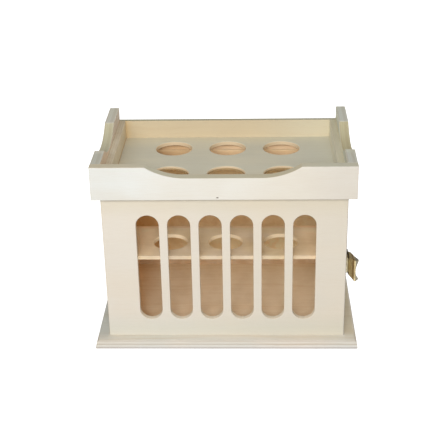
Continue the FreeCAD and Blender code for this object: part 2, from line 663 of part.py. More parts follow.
def latch_plate():
    """Plate on the door with two ears that carry the lever's pin."""
    owner = body("latch_base_plate")
    plate = sketch_on(owner, "YZ_Plane", "-latch_pin_proud")
    polygon(plate, [("-latch_plate_lead", "-ear_outer"), ("latch_plate_long", "-ear_outer"),
                    ("latch_plate_long", "ear_outer"), ("-latch_plate_lead", "ear_outer")])
    pad(owner, plate, "leaf_thick")
    for start in ("ear_inner", "-ear_outer"):
        foot = sketch_on(owner, "XY_Plane", start)
        polygon(foot, [("-latch_pin_proud", "-ear_radius"), (None, "-ear_radius"), (None, "ear_radius"),
                       ("-latch_pin_proud", "ear_radius")])
        pad(owner, foot, "ear_thick")
        ear = sketch_on(owner, "XY_Plane", start)
        circle(ear, None, None, "ear_radius")
        pad(owner, ear, "ear_thick")
    bore = sketch_on(owner, "XY_Plane")
    circle(bore, None, None, "latch_bore")
    pocket(owner, bore, both=True)
    holes = sketch_on(owner, "YZ_Plane", "-latch_pin_proud")
    for rise in ("-latch_nail_half", "latch_nail_half"):
        circle(holes, "latch_nail_back", rise, "nail_hole")
    pocket(owner, holes, "leaf_thick", back=True)
    place(owner, "latch_x", "latch_y", "latch_level")


def flared(owner, tail, half, tip_half):
    """Block as deep as the lever, seen from its face: parallel to the bend, then wider to the front end."""
    face = sketch_on(owner, "YZ_Plane")
    polygon(face, [(tail, "-" + half), (tail, half), ("-lever_flat", half), ("-lever_reach", tip_half),
                   ("-lever_reach", "-" + tip_half), ("-lever_flat", "-" + half)])
    return pad(owner, face, "trough_x")


def trim(owner, corners):
    """Cut away all that lies outside an outline seen from above."""
    outside = sketch_on(owner, "XY_Plane")
    polygon(outside, [("-frame_far", "-frame_far"), ("frame_far", "-frame_far"), ("frame_far", "frame_far"),
                      ("-frame_far", "frame_far")])
    polygon(outside, corners)
    return pocket(owner, outside, both=True)


def fold_test():
    """Picks the folds of the lever: web to side walls, side walls to end flange, web to end flange."""
    back, tip_x, wall_x, wall_y, flat, reach = (size(name) for name in (
        "web_back", "web_tip_x", "wall_tip_x", "wall_tip_y", "lever_flat", "lever_reach"))
    runs = [((back, 0), (back, -flat)), ((back, -flat), (tip_x, -reach)), ((tip_x, -reach), (wall_x, wall_y))]
    near = 0.001

    def at(point, place):
        return abs(point.x - place[0]) < near and abs(point.y - place[1]) < near

    def chosen(edge):
        if len(edge.Vertexes) != 2:
            return False
        first, last = (vertex.Point for vertex in edge.Vertexes)
        along = any((at(first, a) and at(last, b)) or (at(first, b) and at(last, a)) for a, b in runs)
        return along or (at(first, (tip_x, -reach)) and at(last, (tip_x, -reach)))

    return chosen


def latch_lever():
    """Trough-shaped lever that widens to its front end: a rolled knuckle, a bent web, two side walls that
    end round the pin, and an end flange scooped for the thumb."""
    owner = body("latch_lever")
    flared(owner, None, "lever_tail_half", "lever_tip_half")
    block = trim(owner, [("web_back", None), ("web_back", "-lever_flat"), ("web_tip_x", "-lever_reach"),
                         ("wall_tip_x", "wall_tip_y"), ("wall_tail_x", None)])
    dress(owner, "Fillet", "lever_round", block, fold_test())
    hollow = doc.addObject("PartDesign::Body", "latch_lever_hollow")
    flared(hollow, "ear_room", "lever_inside", "lever_tip_inside")
    trim(hollow, [("web_front", "ear_room"), ("web_front", "-lever_flat"), ("corner_x", "corner_y"),
                  ("trough_x", "trough_y"), ("trough_x", "ear_room")])
    trough = owner.newObject("PartDesign::Boolean", "latch_lever_trough")
    trough.Type = "Cut"
    trough.setObjects([hollow])
    scoop = sketch_on(owner, "XZ_Plane")
    circle(scoop, "scoop_x", None, "scoop_radius")
    pocket(owner, scoop, both=True)
    for start in ("lever_knuckle_half", "-lever_inside"):
        room = sketch_on(owner, "XY_Plane", start)
        polygon(room, [("-ear_room", "-ear_room"), ("wall_tail_x", "-ear_room"), ("wall_tail_x", None),
                       ("-ear_room", None)])
        pocket(owner, room, "lever_inside - lever_knuckle_half", back=True)
    for start, tall in (("-lever_tail_half", "lever_sheet"), ("lever_inside", "lever_sheet"),
                        ("-lever_knuckle_half", "2 * lever_knuckle_half")):
        knuckle = sketch_on(owner, "XY_Plane", start)
        circle(knuckle, None, None, "lever_knuckle")
        pad(owner, knuckle, tall)
    bore = sketch_on(owner, "XY_Plane")
    circle(bore, None, None, "latch_bore")
    pocket(owner, bore, both=True)
    place(owner, "latch_x", "latch_y", "latch_level")


def latch_keeper():
    """Plate on the front stile whose back edge turns up into a lip; the closed lever rests over it."""
    owner = body("latch_keeper")
    profile = sketch_on(owner, "XY_Plane", "-keeper_half")
    polygon(profile, [(None, None), ("leaf_thick", None), ("leaf_thick", "lip_from"),
                      ("keeper_top", "lip_from"), ("keeper_top", "keeper_long"), (None, "keeper_long")])
    pad(owner, profile, "keeper_tall")
    holes = sketch_on(owner, "YZ_Plane")
    for rise in ("-keeper_nail_half", "keeper_nail_half"):
        circle(holes, "keeper_nail_back", rise, "nail_hole")
    pocket(owner, holes, "leaf_thick", back=True)
    place(owner, "half_width", "keeper_front", "latch_level")


def latch():
    latch_plate()
    latch_lever()
    round_pin("latch_pin", "latch_pin_radius", "latch_pin_tall", "latch_x", "latch_y",
              "latch_level - latch_pin_tall / 2")
    latch_keeper()
    nails("latch_nails", [("latch_y + latch_nail_back", "latch_level - latch_nail_half"),
                          ("latch_y + latch_nail_back", "latch_level + latch_nail_half")])
    nails("keeper_nails", [("keeper_front + keeper_nail_back", "latch_level - keeper_nail_half"),
                           ("keeper_front + keeper_nail_back", "latch_level + keeper_nail_half")])


# ---- the whole cabinet -----------------------------------------------------------------------------------

base_board()
front_panel()
carcass()
cleats()
front_gallery()
side_gallery("tray_left_board", right=False)
side_gallery("tray_right_board", right=True)
egg_board("egg_tray_board", "inner_width", "inner_deep", "tray_seat_first",
          ("tray_row_first", "tray_row_second"), "tray_seat_radius", "tray_seat_row", "tray_level")
egg_board("egg_shelf", "inner_width", "shelf_deep", "shelf_seat_first", ("shelf_row",),
          "shelf_seat_radius", "shelf_seat_row", "shelf_level")
hinges()
latch()
doc.recompute()

for thing in doc.Objects:
    if {"Invalid", "Error"} & set(thing.State):
        raise RuntimeError(f"{thing.Name}: {thing.State}")
for part in PARTS:
    if part.Shape.isNull() or not part.Shape.isValid():
        raise RuntimeError(f"{part.Label}: its shape is not valid")

os.makedirs("parts", exist_ok=True)
for part in PARTS:
    part.Shape.exportStep(f"parts/{part.Label}.step")
    box = part.Shape.BoundBox
    print(f"{part.Label:26s} solids {len(part.Shape.Solids)}  volume {part.Shape.Volume:10.1f}  "
          f"x {box.XMin:7.1f} {box.XMax:7.1f}  y {box.YMin:7.1f} {box.YMax:7.1f}  "
          f"z {box.ZMin:6.1f} {box.ZMax:6.1f}")
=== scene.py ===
"""Egg cabinet of bare pale boards with an aged brass latch: finishes, brads, floor, light and camera.

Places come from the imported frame, in metres. Patterns are laid out in millimetres on Object coordinates.
"""
import json
import math

import bpy
from mathutils import Matrix, Vector


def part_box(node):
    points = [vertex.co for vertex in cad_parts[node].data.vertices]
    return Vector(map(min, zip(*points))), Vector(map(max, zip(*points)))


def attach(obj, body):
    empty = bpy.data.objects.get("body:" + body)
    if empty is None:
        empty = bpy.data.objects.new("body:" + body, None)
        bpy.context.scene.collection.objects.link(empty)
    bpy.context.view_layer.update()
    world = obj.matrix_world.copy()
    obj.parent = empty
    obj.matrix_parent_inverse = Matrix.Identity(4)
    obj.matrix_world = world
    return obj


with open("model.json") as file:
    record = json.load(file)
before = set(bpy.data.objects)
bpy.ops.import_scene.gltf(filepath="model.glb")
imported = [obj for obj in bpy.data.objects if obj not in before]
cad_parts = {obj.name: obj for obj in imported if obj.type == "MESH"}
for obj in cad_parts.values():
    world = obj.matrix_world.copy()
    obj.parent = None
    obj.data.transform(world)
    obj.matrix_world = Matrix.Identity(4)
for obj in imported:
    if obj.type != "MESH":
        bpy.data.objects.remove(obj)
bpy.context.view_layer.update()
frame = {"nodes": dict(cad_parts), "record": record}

MM = 0.001
X, Y, Z = range(3)
AXES = (X, Y, Z)


# ---- writing materials as sums ---------------------------------------------------------------------------

class Value:
    """One output socket of a finish, with the arithmetic that its pattern is written in."""

    def __init__(self, finish, socket):
        self.finish = finish
        self.socket = socket

    def maths(self, operation, *others):
        return self.finish.maths(operation, self, *others)

    def __add__(self, other):
        return self.maths("ADD", other)

    __radd__ = __add__

    def __sub__(self, other):
        return self.maths("SUBTRACT", other)

    def __rsub__(self, other):
        return self.finish.maths("SUBTRACT", other, self)

    def __mul__(self, other):
        return self.maths("MULTIPLY", other)

    def __truediv__(self, other):
        return self.maths("DIVIDE", other)

    def __abs__(self):
        return self.maths("ABSOLUTE")

    def lesser(self, other):
        return self.maths("MINIMUM", other)

    def greater(self, other):
        return self.maths("MAXIMUM", other)

    def root(self):
        return self.maths("SQRT")

    def floor(self):
        return self.maths("FLOOR")

    def fraction(self):
        return self.maths("FRACT")

    def step(self, start, end):
        """Smooth change from 0 at start to 1 at end."""
        inputs = {"Value": self, "From Min": start, "From Max": end}
        return self.finish.node("ShaderNodeMapRange", {"interpolation_type": "SMOOTHSTEP"}, inputs)


class Finish:
    """A material under construction: one shader, and one method that adds every other node."""

    def __init__(self, name):
        self.material = bpy.data.materials.new(name)
        self.material.use_nodes = True
        self.tree = self.material.node_tree
        self.tree.nodes.clear()
        self.shader = self.tree.nodes.new("ShaderNodeBsdfPrincipled")
        output = self.tree.nodes.new("ShaderNodeOutputMaterial")
        self.tree.links.new(self.shader.outputs[0], output.inputs["Surface"])
        self.tone = None

    def node(self, kind, settings=None, inputs=None, output=0):
        """Add a node: its settings first, then the values or links of its sockets."""
        made = self.tree.nodes.new(kind)
        for name, setting in (settings or {}).items():
            setattr(made, name, setting)
        for key, content in (inputs or {}).items():
            self.feed(made.inputs[key], content)
        return Value(self, made.outputs[output])

    def feed(self, socket, content):
        """Give a socket a link, or a plain value of its own."""
        if isinstance(content, Value):
            self.tree.links.new(content.socket, socket)
        elif socket.type == "RGBA" and len(content) == 3:
            socket.default_value = (*content, 1.0)
        else:
            socket.default_value = content

    def set(self, **sockets):
        """Set the shader's own sockets; underscores stand for spaces."""
        for name, content in sockets.items():
            self.feed(self.shader.inputs[name.replace("_", " ")], content)
        return self.material

    def maths(self, operation, *values):
        return self.node("ShaderNodeMath", {"operation": operation}, dict(enumerate(values)))

    def place(self):
        """The three Object coordinates, in millimetres."""
        metres = self.node("ShaderNodeTexCoord", output="Object")
        scaled = self.node("ShaderNodeVectorMath", {"operation": "SCALE"}, {0: metres, "Scale": 1 / MM})
        return [self.node("ShaderNodeSeparateXYZ", None, {0: scaled}, axis) for axis in AXES]

    def point(self, x, y, z):
        return self.node("ShaderNodeCombineXYZ", None, {0: x, 1: y, 2: z})

    def noise(self, at, detail=2.0, roughness=0.5):
        """Fractal noise of about 0 to 1 whose lumps are one unit of the given point apart."""
        inputs = {"Vector": at, "Scale": 1.0, "Detail": detail, "Roughness": roughness}
        return self.node("ShaderNodeTexNoise", None, inputs)

    def lumps(self, place, size, detail=2.0, roughness=0.5):
        """Noise in round lumps of so many millimetres."""
        return self.noise(self.point(*(place[axis] / size for axis in AXES)), detail, roughness)

    def blend(self, first, second, factor, way="MIX"):
        """Colour mix; the factor is how much of the second colour shows."""
        inputs = {"Factor": factor, 6: first, 7: second}
        return self.node("ShaderNodeMix", {"data_type": "RGBA", "blend_type": way}, inputs, 2)

    def cover(self, colour, share):
        """Lay a colour over the tone so far."""
        self.tone = self.blend(self.tone, colour, share)

    def tint(self, colour, share):
        """Multiply the tone so far by a colour."""
        self.tone = self.blend(self.tone, colour, share, "MULTIPLY")

    def bump(self, height, depth):
        """Normal of a surface whose height, 0 to 1, is so many millimetres deep."""
        return self.node("ShaderNodeBump", None, {"Height": height, "Distance": depth * MM, "Strength": 1.0})


def dress(node, material):
    """Give a CAD node its finish."""
    mesh = frame["nodes"][node].data
    mesh.materials.clear()
    mesh.materials.append(material)


# ---- places, in millimetres ------------------------------------------------------------------------------

def millimetres(node):
    """Lowest and highest corner of a CAD node."""
    low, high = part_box(node)
    return low / MM, high / MM


INNER_LEFT = millimetres("left_side_panel")[1].x
INNER_RIGHT = millimetres("right_top_rail")[0].x
INNER_FRONT = millimetres("front_panel")[1].y
INNER_BACK = millimetres("back_panel")[0].y
CARCASS_LEFT, CARCASS_RIGHT = (corner.x for corner in millimetres("front_panel"))
CARCASS_TOP = millimetres("front_panel")[1].z
BASE_TOP = millimetres("base_board")[1].z
TRAY_UNDER, TRAY_TOP = (corner.z for corner in millimetres("egg_tray_board"))
GALLERY_BOTTOM, GALLERY_TOP = (corner.z for corner in millimetres("tray_front_board"))
GALLERY_LEFT = millimetres("tray_left_board")[1].x
GALLERY_RIGHT = millimetres("tray_right_board")[0].x
GALLERY_FRONT = millimetres("tray_front_board")[1].y
GALLERY_BACK = millimetres("tray_left_board")[1].y


class Mask:
    """A share from 0 to 1 for every place on a board. The product of two is where both hold."""

    def __init__(self, share):
        self.share = share

    def __call__(self, place):
        return self.share(place)

    def __mul__(self, other):
        return Mask(lambda place: self(place) * other(place))


def beyond(axis, start, end):
    """Mask that grows along an axis: none at start, all of it from end on."""
    return Mask(lambda place: place[axis].step(start, end))


def mottled(lump):
    """Mask of blotches, a lump being so many millimetres."""
    return Mask(lambda place: place[X].finish.lumps(place, lump).step(0.42, 0.62))


def room(low, high):
    """Mask of the surfaces that face a box-shaped room, up to a skin's depth behind its walls."""
    skin = 0.3
    sides = [beyond(axis, low[axis] - skin, low[axis] - skin / 4) for axis in AXES]
    sides += [beyond(axis, high[axis] + skin, high[axis] + skin / 4) for axis in AXES]
    return math.prod(sides[1:], start=sides[0])


CAVITY = room((INNER_LEFT, INNER_FRONT, BASE_TOP), (INNER_RIGHT, INNER_BACK, TRAY_UNDER))
TRAY = room((INNER_LEFT, INNER_FRONT, TRAY_TOP), (INNER_RIGHT, INNER_BACK, GALLERY_TOP + 1.0))
FENCED = room((GALLERY_LEFT, GALLERY_FRONT, CARCASS_TOP), (GALLERY_RIGHT, GALLERY_BACK, GALLERY_TOP + 1.0))


def from_row(along, middle, pitch=1.0, count=1):
    """Distance from the nearest centre of a row of equal openings, or from the centre of a single one."""
    first = middle - (count - 1) * pitch / 2
    number = ((along - first) / pitch + 0.5).floor().greater(0.0).lesser(count - 1.0)
    return along - (number * pitch + first)


def slot_rim(place):
    """Distance from the rims of the front panel's slots."""
    count, pitch, radius = 6, 32.6, 12.0
    middle, foot, head = 1.5, 41.5, 141.0
    turn = from_row(place[X], middle, pitch, count)
    rise = place[Z] - place[Z].greater(foot).lesser(head)
    return abs((turn * turn + rise * rise).root() - radius)


def seat_rim(radius, across, front_to_back):
    """Distance from the rims of a grid of round seats. Each direction has its middle, pitch and count."""

    def distance(place):
        turn = from_row(place[X], *across)
        off = from_row(place[Y], *front_to_back)
        return abs((turn * turn + off * off).root() - radius)

    return distance


# ---- colours of bare wood --------------------------------------------------------------------------------

# outside: pale; the colours for the left ends are painted light, and the grey for the right arris is painted
# shade
PALE = (0.80, 0.745, 0.645)
PANEL = (0.755, 0.69, 0.58)
# painted light: the lighter colour towards the front panel's left end
PANEL_PAINTED_LIGHT = (0.785, 0.72, 0.62)
CREAM = (0.80, 0.75, 0.65)
# painted light: the lighter colour towards the front gallery board's left end
CREAM_PAINTED_LIGHT = (0.83, 0.835, 0.795)
PLINTH = (0.70, 0.665, 0.585)
MOSSY = (0.59, 0.595, 0.54)
UMBER = (0.67, 0.595, 0.445)
# painted shade on the front panel's right arris
ARRIS_PAINTED_SHADE = (0.60, 0.575, 0.53)
SILL = (0.93, 0.84, 0.68)

# what a board's colour wanders to
PEACH = (0.795, 0.70, 0.565)
PINKISH = (0.82, 0.70, 0.58)
YELLOWISH = (0.83, 0.76, 0.57)
TAN = (0.74, 0.58, 0.40)

# the tray and its fence
STONE = (0.70, 0.66, 0.52)
STONE_RIGHT = (0.70, 0.68, 0.555)
COMB = (0.77, 0.605, 0.395)
BUTTER = (0.67, 0.56, 0.38)
SAND = (0.70, 0.63, 0.465)
ORANGE = (0.74, 0.54, 0.26)
OLIVE = (0.80, 0.69, 0.50)
GREYED = (0.79, 0.765, 0.62)
ROSY = (0.745, 0.675, 0.53)
RAILED = (0.69, 0.645, 0.475)
RUSSET = (0.81, 0.635, 0.46)
STRAW = (0.86, 0.80, 0.58)

# the warm inside, never handled; the lighter and darker tones marked below are painted light and painted
# shade
WARM = (0.96, 0.79, 0.55)
FLOOR_WARM = (1.0, 0.825, 0.60)
SHELF = (0.80, 0.645, 0.415)
# painted light at the shelf's ends
SHELF_END = (0.97, 0.765, 0.50)
HONEY = (0.97, 0.78, 0.52)
# painted light inside the cavity
LIT = (1.0, 0.82, 0.54)
# painted light inside the cavity
GLOWING = (1.0, 0.81, 0.49)
DEEP = (0.96, 0.715, 0.425)
# painted shade under the tray
DEEPER = (0.83, 0.61, 0.365)
# a darker cleat tone, painted shade under the tray
CINNAMON = (0.82, 0.60, 0.37)
# painted shadow of the shelf on the back's foot
SHELF_PAINTED_SHADOW = (0.86, 0.65, 0.44)
# painted shade: the deeper orange of the inside's left wall and left floor corner
AMBER = (0.90, 0.57, 0.265)
# painted shade on the left of the inside
SHADED_LEFT_AMBER = (0.80, 0.49, 0.20)

# tints that multiply the colour under them
FIGURE = (0.84, 0.74, 0.60)
FIBRE = (0.90, 0.86, 0.80)
PORE = (0.62, 0.52, 0.40)
END_GRAIN = (0.84, 0.77, 0.66)
PALE_PLY = (0.95, 0.90, 0.80)
DARK_PLY = (0.82, 0.73, 0.60)
GLUE_LINE = (0.60, 0.48, 0.36)
HANDLED = (0.88, 0.84, 0.79)
# painted shade on the left of the inside, under the tray
LEFT_PAINTED_SHADE = (0.86, 0.82, 0.75)


# ---- wood ------------------------------------------------------------------------------------------------

class Board(Finish):
    """Bare sanded wood on one board of the CAD model, laid on in layers from the sapwood up."""

    def __init__(self, node, grain, strength):
        super().__init__(node + "_wood")
        low, high = self.box = millimetres(node)
        self.grain = grain
        self.strength = strength
        # each board is cut from its own part of the noise
        self.seed = sum(map(ord, node)) * 0.37
        self.through = min((axis for axis in AXES if axis != grain), key=lambda axis: high[axis] - low[axis])
        self.at = self.place()
        self.run = self.at[grain]
        self.width = self.at[sum(AXES) - grain - self.through]
        self.depth = self.at[self.through]
        self.gaps = [(self.at[axis] - low[axis]).lesser(high[axis] - self.at[axis]) for axis in AXES]
        self.speckle = self.lumps(self.at, 0.6)
        self.uneven = self.speckle * 0.5 + 0.75

    def sapwood(self, colour, drift, painted_left_light):
        """The board's own colour, lightened towards the left as painted light where a left-end colour is
        given, and clouded with the drift.
        """
        self.tone = colour
        low, high = self.box
        if painted_left_light is not None:
            # painted light, laid over the board towards its left end
            self.cover(painted_left_light, self.run.step(high[self.grain] * 0.7, low[self.grain] * 0.9))
        cloud = self.noise(self.point(self.run / 75.0, self.width / 42.0, self.seed + 7.0))
        self.cover(drift, cloud.step(0.38, 0.68) * 0.45)

    def growth(self):
        """Growth lines, long bands that wander across the board, and the fibres and pores between them.

        Each coordinate is divided by how long or wide a lump is, in millimetres.
        """
        run, width, depth, seed, strength = self.run, self.width, self.depth, self.seed, self.strength
        sway = self.noise(self.point(run / 150.0, width / 55.0, seed), 1.0) - 0.5
        self.lines = self.noise(
            self.point(run / 320.0, (width + sway * 26.0) / 3.6 + depth / 5.0, seed), roughness=0.6)
        bands = self.noise(self.point(run / 420.0, (width + sway * 40.0) / 21.0, seed + 3.0), 1.0)
        self.fibres = self.noise(self.point(run / 9.0, width / 0.45, depth / 0.45), roughness=0.6)
        pores = self.noise(self.point(run / 2.6, width / 0.34, depth / 0.34 + seed), 1.0)
        self.pores = pores.step(0.68, 0.80)
        ring = self.lines.step(0.46, 0.74) * (0.30 * strength) + bands.step(0.45, 0.75) * (0.24 * strength)
        self.tint(FIGURE, ring)
        self.tint(FIBRE, self.fibres.step(0.40, 0.70) * (0.15 + 0.20 * strength))
        self.tint(PORE, self.pores * (0.12 + 0.18 * strength))

    def plies(self, count):
        """Layers of thin wood and glue, seen wherever the surface is not one of the two faces."""
        low, high = self.box
        layer = (self.depth - low[self.through]) / ((high[self.through] - low[self.through]) / count)
        odd = abs((layer * 0.5).fraction() - 0.5).step(0.22, 0.28)
        glue = abs(layer.fraction() - 0.5).step(0.42, 0.50)
        edge = self.blend(PALE_PLY, DARK_PLY, odd * (self.speckle * 0.5 + 0.6))
        edge = self.blend(edge, GLUE_LINE, glue * 0.45)
        self.tint(edge, self.gaps[self.through].step(0.08, 0.30) * 0.60)

    def end_grain(self):
        """The darker ends, where the grain is cut across."""
        self.tint(END_GRAIN, self.gaps[self.grain].step(0.40, 0.05) * (self.speckle * 0.5 + 0.45))

    def openings(self, distance, colour):
        """The walls of the board's openings."""
        walls = distance(self.at).step(0.6, 0.2) * self.gaps[self.through].step(0.05, 0.25)
        self.cover(colour, walls * 0.85)

    def sawn_edge(self, tint, dip_tint):
        """A gallery board's upper edge, with a further tint where it dips."""
        height = self.at[Z]
        upper = self.gaps[self.through].step(0.10, 0.60) * height.step(CARCASS_TOP + 0.1, CARCASS_TOP + 0.8)
        dipped = upper * height.step(GALLERY_TOP - 0.1, GALLERY_TOP - 0.8)
        self.tint(tint, upper * self.uneven)
        self.tint(dip_tint, dipped * self.uneven)

    def handling(self):
        """The arrises, a little polished and grey. At an arris, the middle one of the three gaps is small."""
        first, second, third = self.gaps
        middle = first.lesser(second).greater(first.greater(second).lesser(third))
        rub = self.lumps(self.at, 7.0, 3.0)
        self.worn = middle.step(1.4, 0.1) * rub.step(0.35, 0.70)
        self.tint(HANDLED, self.worn * 0.5)

    def surface(self):
        """Give the shader the tone, and the fine relief and sheen of sanded wood."""
        height = self.lines * 0.45 + self.fibres * 0.40 - self.pores * 0.55
        self.shader.inputs["Specular IOR Level"].default_value = 0.28
        return self.set(Base_Color=self.tone, Roughness=self.fibres * 0.10 + 0.60 - self.worn * 0.12,
                        Normal=self.bump(height, 0.02 + 0.025 * self.strength))


def wood(node, grain, colour, drift, strength=1.0, plies=0, painted_left_light=None, faces=(), rim=None, stains_and_painted_light=(),
         sawn=None):
    """Finish one board.

    The grain runs along one axis, and strength is how plainly it shows. colour is the sapwood, drift the
    colour that it wanders to, and the left-end colour, where given, is laid over the board towards its left
    end as painted light. A board of several plies shows them on its edges. faces are pairs of a mask and a
    colour, for the sides that face a room; some of these colours are painted light, and some painted shade.
    rim is the distance from the edges of the board's openings, with the colour of their walls. The pairs of a
    mask and a tint that follow are partly the wood's own mottling and tone and partly painted light and
    painted shade, and sawn the two tints of an upper edge.
    """
    board = Board(node, grain, strength)
    board.sapwood(colour, drift, painted_left_light)
    for mask, face_colour in faces:
        board.cover(face_colour, mask(board.at))
    board.growth()
    if plies:
        board.plies(plies)
    else:
        board.end_grain()
    if rim is not None:
        board.openings(*rim)
    # tints for the wood's own mottling and tone, and for painted light and painted shade
    for mask, tint in stains_and_painted_light:
        board.tint(tint, mask(board.at) * board.uneven)
    if sawn is not None:
        board.sawn_edge(*sawn)
    board.handling()
    dress(node, board.surface())


# ---- boards, each with its grain the way that it was cut -------------------------------------------------

WARM_INSIDE = (CAVITY, WARM)


def front_panel():
    """A little yellower above the slots and greyer below them, lighter towards the left as painted light, and
    grey along the right arris as painted shade.
    """
    shaded_right_arris = beyond(X, CARCASS_RIGHT - 1.0, CARCASS_RIGHT - 0.3)
    above_slots, below_slots = beyond(Z, 146.0, 168.0), beyond(Z, 42.0, 14.0)
    # lighter towards the left end, painted light; the right arris grey, painted shade
    wood("front_panel", X, PANEL, PEACH, 0.15, plies=5, painted_left_light=PANEL_PAINTED_LIGHT, rim=(slot_rim, SILL),
         faces=[WARM_INSIDE, (shaded_right_arris, ARRIS_PAINTED_SHADE)],
         stains_and_painted_light=[(above_slots, (0.95, 0.94, 0.89)), (below_slots, (0.92, 0.96, 0.96))])


def back_panel():
    """Warm inside, where it shows through the slots and seats, with painted light in its lighter bands and
    right part, and painted shade darker to the left, under the tray and at its foot.
    """
    # the right part lightened, painted light; the left part darkened, painted shade
    right_part, left_part = CAVITY * beyond(X, 50.0, 90.0), CAVITY * beyond(X, -35.0, -120.0)
    # painted light low down and behind the shelf's seats, where the shelf's shadow falls
    lower_part = CAVITY * beyond(Z, 66.0, 56.0)
    behind_shelf_seats = CAVITY * beyond(Z, 50.0, 44.0)
    low_in_seats = behind_shelf_seats * beyond(Z, 24.0, 30.0)
    # painted shadow of the shelf's front edge on the foot
    foot = CAVITY * beyond(Z, 19.0, 15.0)
    # painted light behind the slot heads and just under the back cleat; painted shade near the tray
    behind_slot_heads = CAVITY * beyond(Z, 98.0, 112.0)
    near_tray = CAVITY * beyond(Z, 138.0, 152.0)
    behind_tray_seats = CAVITY * beyond(Z, 157.0, 160.0)
    top_edge = beyond(Z, CARCASS_TOP - 0.5, CARCASS_TOP - 0.2)
    blotches = mottled(11.0) * CAVITY * beyond(Z, 110.0, 100.0)
    # painted shade in the left corner under the tray
    shaded_corner = CAVITY * beyond(Z, 150.0, 153.0) * beyond(X, -35.0, -50.0)
    wood("back_panel", X, PALE, YELLOWISH, 0.5, plies=5,
         faces=[(CAVITY, DEEP), (right_part, LIT), (lower_part, LIT), (behind_shelf_seats, GLOWING),
                (left_part, SHADED_LEFT_AMBER), (behind_slot_heads, GLOWING), (near_tray, DEEPER),
                (behind_tray_seats, LIT), (foot, SHELF_PAINTED_SHADOW), (TRAY, BUTTER),
                (TRAY * beyond(X, 10.0, 120.0), SAND), (TRAY * beyond(X, -108.0, -124.0), ORANGE)],
         stains_and_painted_light=[(top_edge, (0.62, 0.66, 0.60)), (blotches, (0.93, 0.88, 0.81)), (shaded_corner, LEFT_PAINTED_SHADE),
                 (low_in_seats, (1.08, 1.12, 1.20)),
                 (low_in_seats * beyond(X, 25.0, 45.0), (1.02, 1.04, 1.08))])


def sides():
    """The left side, and the frame and door of the right one. The left side's inside is deeper amber and
    darker above the tray's joint, both painted shade.
    """
    # painted shade in the inside corner above the tray's joint
    tray_joint = TRAY * beyond(Z, TRAY_TOP + 2.2, TRAY_TOP + 0.6)
    # the amber inside face is painted shade
    wood("left_side_panel", Z, PALE, YELLOWISH, 0.8, plies=7,
         faces=[(CAVITY, AMBER), (TRAY, OLIVE), (FENCED, ROSY)], stains_and_painted_light=[(tray_joint, (0.78, 0.58, 0.36))])
    wood("right_top_rail", Y, PALE, YELLOWISH, 0.8, faces=[(TRAY, GREYED), (FENCED, RAILED)])
    wood("right_front_stile", Z, PALE, PINKISH, 0.8, faces=[WARM_INSIDE])
    wood("right_rear_stile", Z, PALE, YELLOWISH, 0.8, faces=[WARM_INSIDE])
    wood("side_door", Z, PALE, YELLOWISH, 0.8, plies=7, faces=[WARM_INSIDE])


def gallery():
    """The three scalloped boards round the tray. The front one is lighter towards the left as painted light
    and a little darker at both ends as painted shade; the fronts of the side boards' top edges are darkened
    as painted shade.
    """
    top_edge = beyond(Z, GALLERY_TOP - 0.5, GALLERY_TOP - 0.2)
    # painted shade on the front of the side boards' top edges
    front_stretch = top_edge * beyond(Y, -50.0, -60.0)
    inner_face = FENCED * beyond(Z, CARCASS_TOP - 0.5, CARCASS_TOP + 2.5)
    # both ends of the front board a little darker, painted shade
    left_end, right_end = beyond(X, -60.0, -128.0), beyond(X, 60.0, 128.0)
    left_edge, right_edge = top_edge * beyond(X, -60.0, -110.0), top_edge * beyond(X, 60.0, 110.0)
    # lighter towards the left end, painted light
    wood("tray_front_board", X, CREAM, PANEL, 0.25, painted_left_light=CREAM_PAINTED_LIGHT,
         sawn=((0.82, 0.79, 0.67), (0.96, 0.95, 0.91)),
         stains_and_painted_light=[(right_end, (0.94, 0.94, 0.96)), (left_end, (0.95, 0.95, 0.94)),
                 (left_edge, (1.02, 0.94, 0.86)), (right_edge, (1.02, 1.08, 1.12))])
    wood("tray_left_board", Y, CREAM, YELLOWISH, 0.8, plies=3, faces=[(FENCED, RUSSET)],
         sawn=((0.95, 1.02, 1.08), (0.85, 0.82, 0.68)),
         stains_and_painted_light=[(front_stretch, (0.83, 0.85, 0.85)), (inner_face * beyond(Y, 0.0, 30.0), (0.85, 0.92, 1.0))])
    wood("tray_right_board", Y, CREAM, YELLOWISH, 0.8, plies=3, faces=[(FENCED, STRAW)],
         sawn=((0.91, 1.02, 1.10), (0.87, 0.78, 0.57)),
         stains_and_painted_light=[(front_stretch, (0.91, 0.91, 0.95)), (inner_face, (0.81, 0.90, 1.04))])


